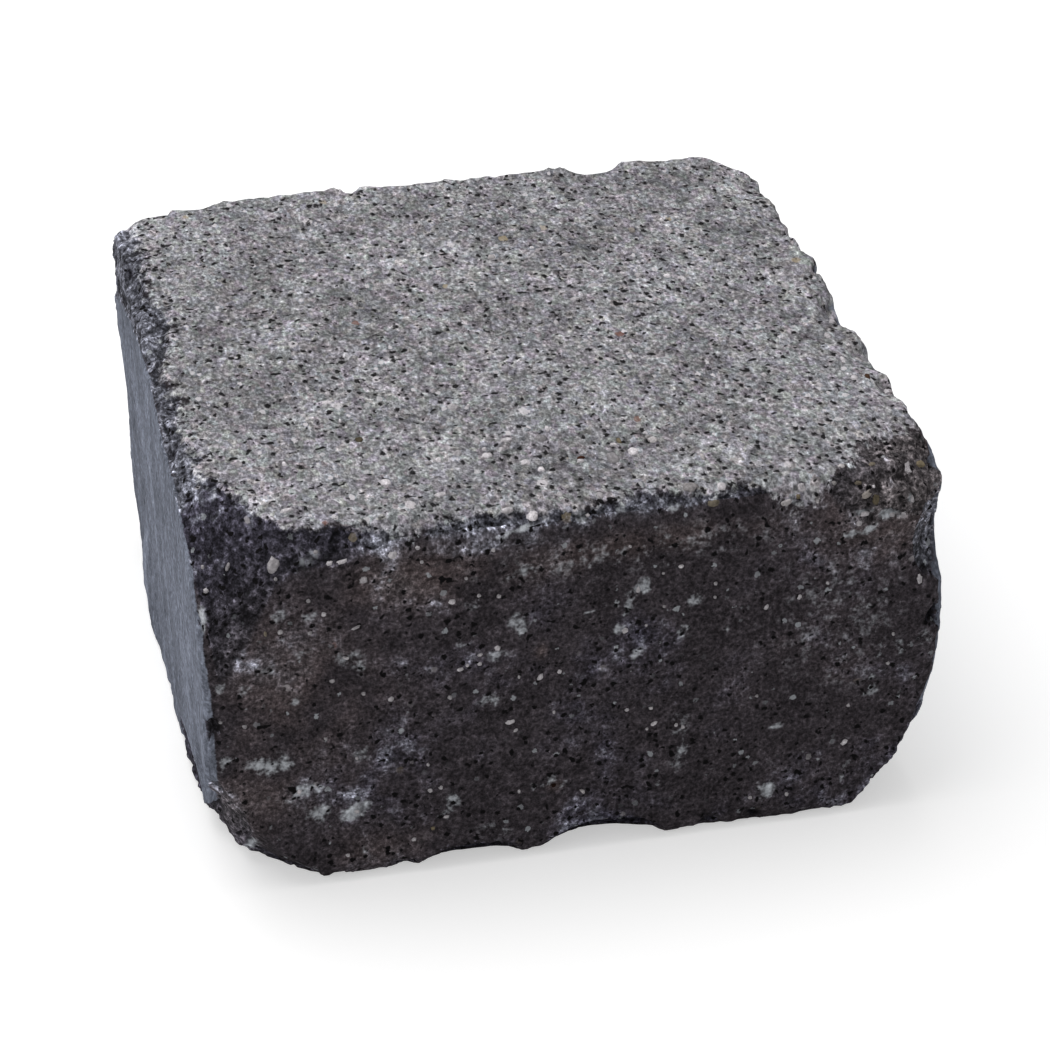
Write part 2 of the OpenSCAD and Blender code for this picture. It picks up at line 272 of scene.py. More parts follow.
class WallBlockShape(bpy.types.PropertyGroup):
    """How finely the block is meshed and how rough its surfaces are."""

    fine_step: length("Fine step", "Mesh step beside the arrises", 0.9 * MM)
    coarse_step: length("Coarse step", "Mesh step in the middle of the faces", 1.65 * MM)
    fine_band: length("Fine band", "Width of the finely meshed band beside the front arrises", 20 * MM)
    back_band: length("Back band", "Width of that band beside the other arrises", 10 * MM)
    skin_wear: length("Skin wear", "Wear radius of an arris up to which the skin still holds", 8.5 * MM)
    skin_loss: length("Skin loss", "Depth lost below the worn skin that counts as broken", 0.5 * MM)
    ragged: length("Ragged border", "How far the border of the broken concrete strays", 2.2 * MM)
    ledge: length("Ledge", "Thickness of the skin that broke away", 0.5 * MM)
    face_warp: length("Face warp", "Slow rise and fall of the cast faces", 0.7 * MM)
    skin_relief: length("Skin relief", "Small unevenness of the cast faces", 0.35 * MM)
    broken_lumps: length("Broken lumps", "Height of the lumps in the broken concrete", 1.5 * MM)
    broken_grain: length("Broken grain", "Height of the single stones in the broken concrete", 0.9 * MM)
    crumble_depth: length("Crumble depth", "Deepest crumb lost from an arris", 2.8 * MM)
    crumble_band: length("Crumble band", "How far from an arris the concrete crumbles", 9 * MM)
    arris_bite: length("Arris bite", "Height of the lumps along the arrises", 1 * MM)
    side_lap: length("Side lap", "How far the left side's skin laps round the front upright arris", 3 * MM)
    back_chip: length("Back chip", "Depth lost off the back arris beside its left end", 2.4 * MM)


class WallBlockConcrete(bpy.types.PropertyGroup):
    """The colours and grain sizes of the concrete."""

    # The three skins are partly the concrete's own colours and partly painted light: the top is lighter as
    # painted light from above, the front, back and bed are darker as painted shade, and the sides are bluer
    # as a painted sheen
    top_skin_and_painted_light: colour("Top skin", "Grey skin of the top", (0.278, 0.273, 0.29))
    face_skin_and_painted_shade: colour("Face skin", "Anthracite skin of the front, back and bed", (0.048, 0.041, 0.047))
    warm_skin: colour("Warm skin", "Browner patches of the anthracite skin", (0.084, 0.065, 0.066))
    side_skin_and_painted_sheen: colour("Side skin", "Smooth skin of the two mould sides", (0.163, 0.178, 0.222))
    broken: colour("Broken concrete", "Freshly broken concrete", (0.036, 0.034, 0.047))
    bared: colour("Bared concrete", "Broken concrete where it is browner", (0.125, 0.11, 0.109))
    dusty: colour("Dusty concrete", "Broken concrete with dust rubbed into it", (0.135, 0.139, 0.166))
    # Painted shade: the near-black colour in the pits stands in for the shade inside them
    pore_shade: colour("Pore", "Inside of the pores", (0.005, 0.0045, 0.005))
    pale_stone: colour("Pale stone", "Pale stones in the mix", (0.74, 0.7, 0.73))
    tan_stone: colour("Tan stone", "Tan stones in the mix", (0.4, 0.33, 0.22))
    rust_stone: colour("Rust stone", "Rust-red stones in the mix", (0.2, 0.08, 0.05))
    lime: colour("Lime", "Whitish lime smeared on the faces", (0.4, 0.42, 0.45))
    grit_size: length("Grit size", "Size of the sand", 1.2 * MM)
    grain_size: length("Grain size", "Size of the small grains", 2.1 * MM)
    stone_size: length("Stone size", "Size of the stones that show", 3.4 * MM)
    pit_size: length("Pit size", "Size of the ragged pits", 2.8 * MM)
    # Each contrast also sets how strong the painted shade in the hollows and the lighter proud places are
    top_contrast: FloatProperty(name="Top contrast", description="Lightest to darkest sand of the top",
                                default=12)
    face_contrast: FloatProperty(name="Face contrast", description="Lightest to darkest sand of the faces",
                                 default=10)
    side_contrast: FloatProperty(name="Side contrast", description="Lightest to darkest mark of a side",
                                 default=6)
    broken_contrast: FloatProperty(name="Broken contrast", default=80,
                                   description="Lightest to darkest sand where the concrete is broken")


class WallBlockStage(bpy.types.PropertyGroup):
    """The floor, the light and the camera."""

    floor_colour: colour("Floor", "Colour of the floor", (0.8, 0.8, 0.8))
    floor_glow: FloatProperty(name="Floor glow", description="What makes the floor white to the camera",
                              default=0.45)
    sky_strength: FloatProperty(name="Sky", description="Strength of the even light", default=0.45)
    top_light: FloatProperty(name="Top light", description="Power of the overhead softbox", default=11.0,
                             unit="POWER")
    side_light: FloatProperty(name="Side light", description="Power of the left softbox", default=3.0,
                              unit="POWER")
    azimuth: FloatProperty(name="Azimuth", description="Camera's turn round the block", subtype="ANGLE",
                           default=math.radians(-12.49))
    elevation: FloatProperty(name="Elevation", description="Camera's height above the block as an angle",
                             subtype="ANGLE", default=math.radians(32.15))
    distance: length("Distance", "Camera to the middle of the block", 0.936)
    aim_right: FloatProperty(name="Aim right", description="How far right of the middle the camera aims",
                             unit="LENGTH", default=7.8 * MM)
    aim_down: FloatProperty(name="Aim down", description="How far below the middle the camera aims",
                            unit="LENGTH", default=9.5 * MM)
    lens: FloatProperty(name="Lens", description="Focal length", default=104.6, subtype="DISTANCE_CAMERA")


# ------------------------------------------------------------------------------------------ block's mesh


def steps_along(low, high, low_band, high_band, shape):
    """Places along one side of the block, closer together in the bands beside its arrises."""
    fine_low, fine_high = round(low_band / shape.fine_step), round(high_band / shape.fine_step)
    coarse = round((high - low - low_band - high_band) / shape.coarse_step)
    return np.concatenate([
        np.linspace(low, low + low_band, fine_low, endpoint=False),
        np.linspace(low + low_band, high - high_band, coarse, endpoint=False),
        np.linspace(high - high_band, high, fine_high + 1),
    ])


def box_lattice(xs, ys, zs):
    """Points and four-sided faces of a closed box with points at those places along its sides."""
    last = [len(xs) - 1, len(ys) - 1, len(zs) - 1]
    grid = np.indices([n + 1 for n in last])
    on_shell = np.any([(grid[i] == 0) | (grid[i] == last[i]) for i in range(3)], axis=0)
    number = np.full(on_shell.shape, -1)
    number[on_shell] = np.arange(on_shell.sum())
    places = grid[:, on_shell]
    points = np.stack([xs[places[0]], ys[places[1]], zs[places[2]]], axis=1)
    quads = []
    for axis in range(3):
        for end in (0, last[axis]):
            sheet = np.take(number, end, axis=axis)
            ring = [sheet[:-1, :-1], sheet[1:, :-1], sheet[1:, 1:], sheet[:-1, 1:]]
            if (end == 0) != (axis == 1):
                ring.reverse()
            quads.append(np.stack(ring, axis=-1).reshape(-1, 4))
    return points, np.concatenate(quads)


def lay_on_block(points):
    """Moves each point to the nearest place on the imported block."""
    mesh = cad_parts[NODE].data
    tree = BVHTree.FromPolygons([v.co for v in mesh.vertices], [list(p.vertices) for p in mesh.polygons])
    return np.array([tree.find_nearest(Vector(p))[0] for p in points])


def corner_normals(points, quads):
    """Outward direction at each point, from the faces round it."""
    across = points[quads[:, 2]] - points[quads[:, 0]]
    along = points[quads[:, 3]] - points[quads[:, 1]]
    face = np.cross(across, along)
    total = np.zeros_like(points)
    for corner in range(4):
        np.add.at(total, quads[:, corner], face)
    return total / np.linalg.norm(total, axis=1, keepdims=True)


def spread(values, quads, rounds):
    """Evens out values by giving each point the mean of the faces round it, some rounds over."""
    count = np.bincount(quads.ravel(), minlength=len(values)).astype(float)
    for _ in range(rounds):
        face = values[quads].mean(axis=1)
        total = np.zeros_like(values)
        for corner in range(4):
            np.add.at(total, quads[:, corner], face)
        values = total / (count if values.ndim == 1 else count[:, None])
    return values


def ramp(values, low, high):
    """0 at low, 1 at high, and a soft S between."""
    t = np.clip((values - low) / (high - low), 0, 1)
    return t * t * (3 - 2 * t)


def cloudy(points, size, octaves, seed):
    """Cloudy noise from about -1 to 1 whose largest clouds have that size."""
    move = Vector((seed, -seed, 2 * seed))
    return np.array([noise.fractal(Vector(p) / size + move, 1.0, 2.0, octaves) for p in points])


def stony(points, size, octaves, seed):
    """Rounded lumps with sharp valleys between them, from 0 in a valley to about 1 on the largest."""
    move = Vector((seed, seed, -seed))
    return np.array([noise.turbulence(Vector(p) / size + move, octaves, True) for p in points])


def inside_by(points, chosen):
    """Distance to the border of the chosen points: above zero inside, below zero outside."""
    distance = np.zeros(len(points))
    for here, there, sign in ((chosen, ~chosen, 1), (~chosen, chosen, -1)):
        tree = KDTree(int(there.sum()))
        for number, index in enumerate(np.flatnonzero(there)):
            tree.insert(points[index], number)
        tree.balance()
        for index in np.flatnonzero(here):
            distance[index] = sign * tree.find(points[index])[2]
    return distance


def sight_lines(points):
    """The way of the line of sight through each point, per metre of depth."""
    lines = points - np.array(SEEN_FROM)
    return lines / lines[:, 1:2]


def marks_on_front(points, marks):
    """How strongly the marks lie on each point of the front, from 0 to 1."""
    total = np.zeros(len(points))
    behind = points[:, 1] - BLOCK_LOW.y
    sight = sight_lines(points)
    for x, z, wide, high, lean, strength in marks:
        turn = math.radians(lean)
        right = points[:, 0] - sight[:, 0] * behind - x * MM
        up = points[:, 2] - sight[:, 2] * behind - z * MM
        along = (right * math.cos(turn) + up * math.sin(turn)) / (wide * MM / 2)
        across = (up * math.cos(turn) - right * math.sin(turn)) / (high * MM / 2)
        total = np.maximum(total, strength * np.exp(-(along ** 2 + across ** 2)))
    return total * (1 - ramp(behind, 15 * MM, 40 * MM))


def between_rows(rows, at):
    """A table's other columns at those places along its first one, in metres."""
    columns = np.array(rows).T * MM
    return [np.interp(at, columns[0], column) for column in columns[1:]]


def past_arris(to_one, to_other, along_one, along_other):
    """How far past the arris between two faces lines of sight meet one face, or below zero, the other.

    The first two say how deep each line meets each face's plane, the last two what length along the face
    one metre of that depth is.
    """
    return np.where(to_one > to_other, along_one, along_other) * (to_one - to_other)


class Places:
    """Where the points of the block's mesh lie."""

    def __init__(self, shape):
        low, high = np.array(BLOCK_LOW), np.array(BLOCK_HIGH)
        fine, back = shape.fine_band, shape.back_band
        self.box, self.quads = box_lattice(
            steps_along(low[0], high[0], fine, fine, shape),
            steps_along(low[1], high[1], fine, back, shape),
            steps_along(low[2], high[2], back, fine, shape))
        self.worn = lay_on_block(self.box)

        # On the sharp block, from each face and from the nearest arris
        self.from_left, self.from_front, self.from_bed = (self.box - low).T
        self.from_right, self.from_back, self.from_top = (high - self.box).T
        self.to_arris = np.sort(np.minimum(self.box - low, high - self.box), axis=1)[:, 1]
        self.on_left, self.on_front = self.from_left < ON_FACE, self.from_front < ON_FACE
        self.on_top = self.from_top < ON_FACE

        # Back along the line of sight to the sharp block: how far each point lies past the top's front and
        # left arrises there, below zero on the front and on the left side, and past the front upright arris
        sight = sight_lines(self.worn)
        steps_back = (self.worn - (low[0], low[1], high[2])) / sight
        to_left, to_front, to_top = steps_back.T
        self.sharp = self.worn - np.minimum(steps_back.min(axis=1), DEEPEST_WEAR)[:, None] * sight
        self.past_front = past_arris(to_front, to_top, 1.0, -sight[:, 2])
        self.past_left = past_arris(to_left, to_top, sight[:, 0], -sight[:, 2])
        self.past_upright = past_arris(to_front, to_left, 1.0, sight[:, 0])

        # The breaks drawn along those two arrises, and how far their border strays
        self.front_gone, self.front_down = between_rows(FRONT_BREAK, self.sharp[:, 0])
        self.left_gone, self.left_down = between_rows(LEFT_BREAK, self.sharp[:, 1])
        self.stray = shape.ragged * (
            0.5 * cloudy(self.worn, 12 * MM, 2, 3.1) + 0.5 * cloudy(self.worn, 5 * MM, 2, 4.4))


def beside_drawn_breaks(at):
    """1 where the drawn breaks say what is broken, 0 away from them."""
    by_front = ramp(np.abs(at.past_front), 14 * MM, 20 * MM)
    by_left = ramp(np.abs(at.past_left), 9 * MM, 13 * MM)
    down_left = np.where(at.on_left, 1 - ramp(at.from_top, 20 * MM, 24 * MM), 0)
    return np.where(at.on_top | at.on_front, 1 - np.minimum(by_front, by_left), down_left)


def off_top_skin(at):
    """How far each point of the top lies in the broken strips beside its arrises, below zero on the skin."""
    past_back = at.from_back - at.from_top - between_rows(BACK_GONE, at.box[:, 0])[0]
    past_right = at.from_right - at.from_top - between_rows(RIGHT_GONE, at.box[:, 1])[0]
    return -np.min([at.past_front - at.front_gone, at.past_left - at.left_gone, past_back, past_right],
                   axis=0)


def in_spall(at):
    """How far inside the spall each point lies, below zero outside."""
    away = np.linalg.norm((at.worn - SPALL) * SPALL_STRETCH, axis=1)
    return SPALL_REACH - away + 2 * at.stray


def inside_scars(at, shape, drawn, crumbs, off_top, spall):
    """How far inside broken concrete each point lies, below zero on the skins."""
    # Broken where more is gone than an arris wears away, and where the arris crumbled
    skin_wear = np.hypot(np.maximum(shape.skin_wear - at.to_arris, 0), shape.skin_wear) - shape.skin_wear
    lost = np.linalg.norm(at.worn - at.box, axis=1) - skin_wear
    crumbled = (crumbs - CRUMB_SHOWS) * CRUMB_WIDTH
    scar = np.maximum(inside_by(at.worn, lost * (1 - drawn) > shape.skin_loss), crumbled)

    # Broken along the top's front and left arrises as drawn
    along_front = np.minimum(at.past_front + at.front_down, at.front_gone - at.past_front)
    along_left = np.minimum(at.past_left + at.left_down, at.left_gone - at.past_left)
    along_left = np.minimum(along_left, 20 * MM + at.past_front)
    beside = np.maximum(np.minimum(along_front, at.past_left + 3 * MM), along_left)
    scar = np.maximum(scar, np.where(at.on_top | at.on_front | at.on_left, beside, -20 * MM))
    scar = np.where(at.on_top, np.maximum(off_top, crumbled), scar) + at.stray
    return np.maximum(scar, spall)


def relief(at, shape, broken, crumbs):
    """How far each point goes in from the worn block."""
    bite = (1 - ramp(at.to_arris, 0, 7 * MM)) * (0.35 + 0.65 * ramp(at.from_left, 0, 12 * MM))
    inward = shape.face_warp * cloudy(at.worn, 60 * MM, 2, 11.0)
    uneven = cloudy(at.worn, 11 * MM, 3, 13.0) + 0.6 * cloudy(at.worn, 4 * MM, 2, 17.0)
    inward += shape.skin_relief * (1 - broken) * uneven
    inward += broken * (shape.ledge + shape.broken_lumps * (0.45 - stony(at.worn, 9 * MM, 2, 1.3)))
    inward += broken * shape.broken_grain * (0.45 - stony(at.worn, 2.8 * MM, 2, 5.2))
    inward += bite * shape.arris_bite * (0.5 - stony(at.worn, 5 * MM, 3, 7.7))
    inward += shape.crumble_depth * crumbs
    chipped = (1 - ramp(at.from_left, 18 * MM, 20.5 * MM)) * ramp(at.from_left, 2 * MM, 12 * MM)
    from_back_top = np.hypot(at.from_back, at.from_top)
    inward += shape.back_chip * chipped * (1 - ramp(from_back_top, 3 * MM, 10 * MM))
    for x, y, z, reach, height in SWELLS:
        away = np.linalg.norm(at.worn - np.array([x, y, z]) * MM, axis=1)
        inward -= height * MM * (1 - ramp(away, 0.2 * reach * MM, reach * MM))
    return inward


def inside_mould_sides(at, shape, spall):
    """How far inside the left or the right mould side each point lies, below zero outside them."""
    lap = shape.side_lap * (1 - ramp(at.sharp[:, 2] - BLOCK_LOW.z, 60 * MM, 110 * MM))
    from_ends = np.minimum(at.from_back, at.from_bed)
    to_back = ramp(at.box[:, 1], 10 * MM, 40 * MM)
    below_break = -at.past_left - at.left_down - 1.2 * at.stray * to_back
    left_side = np.min([below_break, at.past_upright + lap, from_ends - 0.5 * MM, -spall,
                        6 * MM - at.from_left], axis=0)
    from_ends = np.minimum(from_ends, at.from_front)
    right_side = np.minimum(from_ends, at.from_top - 1.5 * MM) - at.from_right
    return np.maximum(left_side, right_side)


def dusted(at):
    """How much dust was rubbed into broken concrete at each point, from 0 to 1."""
    left = (1 - ramp(at.past_left, 10 * MM, 16 * MM)) * ramp(at.box[:, 1], -78 * MM, -62 * MM)
    left *= 1 - ramp(at.from_top, 20 * MM, 45 * MM)
    right = ramp(-at.from_right, -9 * MM, -5 * MM)
    right *= 1 - ramp(np.abs(at.from_bed - 93 * MM), 7 * MM, 12 * MM)
    front = (1 - ramp(np.abs(at.past_front), 7 * MM, 12 * MM)) * ramp(at.box[:, 0], -62 * MM, -50 * MM)
    front *= 0.75 * (1 - ramp(at.box[:, 0], 60 * MM, 74 * MM))
    return np.max([left, right, front], axis=0)


def rough_block(shape):
    """The block's points and faces, and what the concrete needs to know of each point."""
    at = Places(shape)
    drawn = beside_drawn_breaks(at)
    crumbs = ramp(cloudy(at.worn, 10 * MM, 4, 8.3), 0.0, 0.9) * (1 - drawn)
    crumbs *= 1 - ramp(at.to_arris, 0, shape.crumble_band)
    off_top, spall = off_top_skin(at), in_spall(at)
    scar = inside_scars(at, shape, drawn, crumbs, off_top, spall)
    inward = relief(at, shape, ramp(scar, -0.5 * MM, 1.2 * MM), crumbs)

    out = spread(corner_normals(at.worn, at.quads), at.quads, 4)
    out /= np.linalg.norm(out, axis=1, keepdims=True)
    points = at.worn - out * inward[:, None]
    points[:, 2] = np.maximum(points[:, 2], BLOCK_LOW.z)
    return points, at.quads, {
        "scar": scar,
        "top": -off_top - 14 * MM * crumbs - 0.6 * np.abs(at.stray),
        "side": inside_mould_sides(at, shape, spall),
        # How far each point stands proud of its surround, which the concrete turns into lighter proud places
        # and painted shade in the hollows
        "proud": spread(inward, at.quads, 8) - inward,
        "dust": dusted(at),
        "lime": marks_on_front(at.worn, LIME_MARKS),
        "warm": marks_on_front(at.worn, WARM_MARKS)}


def set_stone(ball, sizes, place_at, axes, chance):
    """One uneven pebble's points, lying flat on its place and sunk a little into it."""
    uneven = 1 + STONE_UNEVEN * chance.standard_normal((len(ball), 1)) * (1 - np.abs(ball[:, 2:]))
    stone = ball * uneven * sizes
    stone[:, 2] -= STONE_SUNK
    return stone @ axes + place_at


def add_stones(points, quads, values):
    """Sets the listed stones into the rough surface, each a closed pebble that stands a little proud."""
    tree = BVHTree.FromPolygons([Vector(p) for p in points], quads.tolist())
    step = np.linspace(-1, 1, 4)
    ball, ball_quads = box_lattice(step, step, np.array([-1.0, 0.0, 1.0]))
    ball /= np.linalg.norm(ball, axis=1, keepdims=True)
    chance = np.random.default_rng(5)
    all_points, all_quads, pale, warm = [points], [quads], [np.zeros(len(points))], [np.zeros(len(points))]
    count = len(points)
    for rows, facing in ((FRONT_STONES, Vector((0, -1, 0))), (TOP_STONES, Vector((0, 0, 1)))):
        for first, second, wide, high, lean, paleness, warmth in rows:
            on_front = Vector((first * MM, BLOCK_LOW.y, second * MM))
            on_top = Vector((first * MM, second * MM, BLOCK_HIGH.z))
            sight = (on_front if facing.y else on_top) - SEEN_FROM
            place_at, normal = tree.ray_cast(SEEN_FROM, sight.normalized())[:2]
            up = (normal + 2 * facing).normalized()
            right = Matrix.Rotation(math.radians(lean), 3, facing) @ Vector((1, 0, 0))
            right = (right - up * right.dot(up)).normalized()
            axes = np.array([right, up.cross(right), up])
            sizes = (wide * MM / 2, high * MM / 2, STONE_STANDS)
            all_points.append(set_stone(ball, sizes, np.array(place_at), axes, chance))
            all_quads.append(ball_quads + count)
            pale.append(np.full(len(ball), paleness * (FRONT_PALENESS if facing.y else 1.0)))
            warm.append(np.full(len(ball), warmth))
            count += len(ball)
    added = count - len(points)
    values = {key: np.concatenate([numbers, np.zeros(added)]) for key, numbers in values.items()}
    values["stone"], values["stone_warmth"] = np.concatenate(pale), np.concatenate(warm)
    return np.concatenate(all_points), np.concatenate(all_quads), values


def mesh_piece(name, points, quads, values):
    """A smooth-shaded mesh object with one number per point for each of the named values."""
    mesh = bpy.data.meshes.new(name)
    mesh.vertices.add(len(points))
    mesh.vertices.foreach_set("co", points.astype(np.float32).ravel())
    mesh.loops.add(quads.size)
    mesh.loops.foreach_set("vertex_index", quads.astype(np.int32).ravel())
    mesh.polygons.add(len(quads))
    mesh.polygons.foreach_set("loop_start", np.arange(0, quads.size, 4, dtype=np.int32))
    mesh.polygons.foreach_set("use_smooth", np.ones(len(quads), dtype=bool))
    mesh.update(calc_edges=True)
    for key, numbers in values.items():
        mesh.attributes.new(key, "FLOAT", "POINT").data.foreach_set("value", numbers.astype(np.float32))
    piece = bpy.data.objects.new(name, mesh)
    bpy.context.scene.collection.objects.link(piece)
    return piece


# --------------------------------------------------------------------------------------- shader builders


def feed(tree, socket, value):
    """Links another node's output to an input, or sets the input to a number or colour."""
    if isinstance(value, bpy.types.NodeSocket):
        tree.links.new(value, socket)
    else:
        socket.default_value = value


def place(tree, kind, inputs=None, **settings):
    """Adds a node. Inputs are numbers, colours or other nodes' outputs, by socket name or number."""
    made = tree.nodes.new(kind)
    for key, value in settings.items():
        setattr(made, key, value)
    for key, value in (inputs or {}).items():
        feed(tree, made.inputs[key], value)
    return made


def maths(tree, operation, first, second=0.0, third=0.0):
    """The result of one Math node."""
    return place(tree, "ShaderNodeMath", {0: first, 1: second, 2: third}, operation=operation).outputs[0]


def by(tree, *values):
    """The product of some values."""
    return reduce(lambda first, second: maths(tree, "MULTIPLY", first, second), values)


def plus(tree, *values):
    """The sum of some values."""
    return reduce(lambda first, second: maths(tree, "ADD", first, second), values)


def off_middle(tree, value, times=1.0):
    """A value's distance from one half, made some times larger."""
    return by(tree, maths(tree, "SUBTRACT", value, 0.5), times)


def stretched(tree, value):
    """A noise's value, which stays near one half, carried out to about 0 and 1."""
    return plus(tree, off_middle(tree, value, NOISE_STRETCH), 0.5)


def between(tree, value, low, high, to_low=0.0, to_high=1.0):
    """Value carried softly from low..high to to_low..to_high."""
    return place(tree, "ShaderNodeMapRange",
                 {"Value": value, "From Min": low, "From Max": high, "To Min": to_low, "To Max": to_high},
                 interpolation_type="SMOOTHSTEP").outputs["Result"]


def choose(tree, factor, first, second):
    """First value turned into second by factor."""
    return place(tree, "ShaderNodeMix", {0: factor, 2: first, 3: second}, data_type="FLOAT").outputs[0]


def blend(tree, factor, first, second, mode="MIX"):
    """First colour turned into second by factor."""
    return place(tree, "ShaderNodeMix", {0: factor, 6: first, 7: second}, data_type="RGBA",
                 blend_type=mode).outputs[2]


def tinted(tree, skin, factor):
    """A colour made lighter or darker by a factor."""
    level = place(tree, "ShaderNodeCombineColor", {0: factor, 1: factor, 2: factor}).outputs[0]
    return blend(tree, 1.0, skin, level, "MULTIPLY")


def vector_maths(tree, operation, first, second):
    """The result of one Vector Math node."""
    return place(tree, "ShaderNodeVectorMath", {0: first, 1: second}, operation=operation).outputs[0]


def scaled(tree, vector, factor):
    """Vector made longer by a factor."""
    return place(tree, "ShaderNodeVectorMath", {0: vector, "Scale": factor}, operation="SCALE").outputs[0]


def in_grains(tree, given):
    """A group's vector divided by its size, so that one unit is one grain."""
    return scaled(tree, given["Vector"], maths(tree, "DIVIDE", 1.0, given["Size"]))


def shifted(tree, vector, offset):
    """Vector moved by an offset, to another part of a noise."""
    return vector_maths(tree, "ADD", vector, (offset, offset * 0.7, -offset))


def cloud(tree, vector, scale=1.0, detail=2.0, roughness=0.5):
    """A noise texture's value."""
    return place(tree, "ShaderNodeTexNoise",
                 {"Vector": vector, "Scale": scale, "Detail": detail, "Roughness": roughness}).outputs["Fac"]


def new_group(name, inputs, outputs):
    """An empty shader group with its sockets, as (tree, input sockets, output node)."""
    tree = bpy.data.node_groups.new(name, "ShaderNodeTree")
    for label, (kind, default) in inputs.items():
        socket = tree.interface.new_socket(name=label, in_out="INPUT", socket_type=kind)
        if default is not None:
            socket.default_value = default
    for label, kind in outputs.items():
        tree.interface.new_socket(name=label, in_out="OUTPUT", socket_type=kind)
    return tree, tree.nodes.new("NodeGroupInput").outputs, tree.nodes.new("NodeGroupOutput").inputs


def use(tree, group, inputs):
    """Places a group in a material with its own values."""
    return place(tree, "ShaderNodeGroup", inputs, node_tree=group).outputs


def rgba(value):
    """A colour property as four numbers."""
    return (*value, 1.0)


# ----------------------------------------------------------------------------------------- shader groups

FLOAT, VECTOR, COLOUR = "NodeSocketFloat", "NodeSocketVector", "NodeSocketColor"


def sand_group():
    """Sand in the concrete, fine and coarse, each from about 0 to 1, and an uneven shift for the grains."""
    tree, given, out = new_group(
        "Sand", {"Vector": (VECTOR, None), "Size": (FLOAT, 0.001)},
        {"Fine": FLOAT, "Coarse": FLOAT, "Shifted": VECTOR})
    grains = in_grains(tree, given)
    fine = place(tree, "ShaderNodeTexNoise",
                 {"Vector": grains, "Scale": 1.0, "Detail": 2.0, "Roughness": 0.7})
    coarse = cloud(tree, shifted(tree, grains, 31.0), scale=0.32, detail=2.0, roughness=0.65)
    centred = vector_maths(tree, "SUBTRACT", fine.outputs["Color"], (0.5, 0.5, 0.5))
    reach = scaled(tree, centred, by(tree, given["Size"], 1.5))
    tree.links.new(stretched(tree, fine.outputs["Fac"]), out["Fine"])
    tree.links.new(stretched(tree, coarse), out["Coarse"])
    tree.links.new(vector_maths(tree, "ADD", given["Vector"], reach), out["Shifted"])
    return tree


def grains_group():
    """Packed grains: a mask of the stones among them and of the pits where one fell out, and each grain's
    tone, chance and tint."""
    tree, given, out = new_group(
        "Grains",
        {"Vector": (VECTOR, None), "Size": (FLOAT, 0.003), "Stones": (FLOAT, 0.1), "Pits": (FLOAT, 0.0),
         "Offset": (FLOAT, 0.0)},
        {"Stone": FLOAT, "Pit": FLOAT, "Tone": FLOAT, "Chance": FLOAT, "Tint": COLOUR})
    moved = vector_maths(tree, "ADD", in_grains(tree, given), given["Offset"])
    cells = place(tree, "ShaderNodeTexVoronoi", {"Vector": moved, "Scale": 1.0})
    chance = place(tree, "ShaderNodeSeparateColor", {0: cells.outputs["Color"]})
    edge = between(tree, chance.outputs[1], 0.0, 1.0, 0.28, 0.5)
    inside = between(tree, cells.outputs["Distance"], edge, maths(tree, "SUBTRACT", edge, 0.1))
    stone = maths(tree, "LESS_THAN", chance.outputs[0], given["Stones"])
    hollow = between(tree, cells.outputs["Distance"], edge, maths(tree, "SUBTRACT", edge, 0.22))
    lost = maths(tree, "GREATER_THAN", chance.outputs[0], maths(tree, "SUBTRACT", 1.0, given["Pits"]))
    tree.links.new(by(tree, inside, stone), out["Stone"])
    tree.links.new(by(tree, hollow, lost), out["Pit"])
    tree.links.new(chance.outputs[0], out["Tone"])
    tree.links.new(chance.outputs[2], out["Chance"])
    tree.links.new(cells.outputs["Color"], out["Tint"])
    return tree


def pits_group():
    """Ragged pits, more of them at a higher level: how deep the pit is at each point, from 0 to 1."""
    tree, given, out = new_group(
        "Pits",
        {"Vector": (VECTOR, None), "Size": (FLOAT, 0.0015), "Level": (FLOAT, 0.36), "Slope": (FLOAT, 0.06),
         "Offset": (FLOAT, 0.0)},
        {"Depth": FLOAT})
    moved = vector_maths(tree, "ADD", in_grains(tree, given), given["Offset"])
    open_air = cloud(tree, moved, detail=1.0, roughness=0.6)
    deep = maths(tree, "SUBTRACT", given["Level"], given["Slope"])
    tree.links.new(between(tree, open_air, given["Level"], deep), out["Depth"])
    return tree


def lime_group():
    """Lime smeared over the sand: a mask, from where it is marked and from slanting streaks of its own."""
    tree, given, out = new_group(
        "Lime",
        {"Vector": (VECTOR, None), "Marks": (FLOAT, 0.0), "Sand": (FLOAT, 0.5), "Size": (FLOAT, 0.016)},
        {"Mask": FLOAT})
    leaning = place(tree, "ShaderNodeMapping",
                    {"Vector": in_grains(tree, given), "Rotation": (0.0, math.radians(24), 0.0),
                     "Scale": (0.8, 1.0, 1.9)})
    smeared = cloud(tree, leaning.outputs[0], detail=3.0, roughness=0.65)
    streaks = between(tree, smeared, 0.62, 0.84, 0.0, 0.6)
    amount = maths(tree, "MAXIMUM", given["Marks"], streaks)
    uneven = plus(tree, amount, off_middle(tree, given["Sand"], 1.4))
    mask = by(tree, between(tree, uneven, 0.12, 0.95), between(tree, amount, 0.02, 0.3))
    tree.links.new(mask, out["Mask"])
    return tree


def mould_marks_group():
    """Fine scratches that the mould drew up the side of the block: a value round one half."""
    tree, given, out = new_group(
        "Mould Marks", {"Vector": (VECTOR, None), "Size": (FLOAT, 0.0008)}, {"Value": FLOAT})
    drawn = place(tree, "ShaderNodeMapping",
                  {"Vector": in_grains(tree, given), "Scale": (1.0, 1.0, 0.22)}).outputs[0]
    fine = cloud(tree, drawn, scale=1.0, detail=2.0, roughness=0.65)
    broad = cloud(tree, shifted(tree, drawn, 17.0), scale=0.1, detail=2.0)
    tree.links.new(stretched(tree, choose(tree, 0.45, fine, broad)), out["Value"])
    return tree


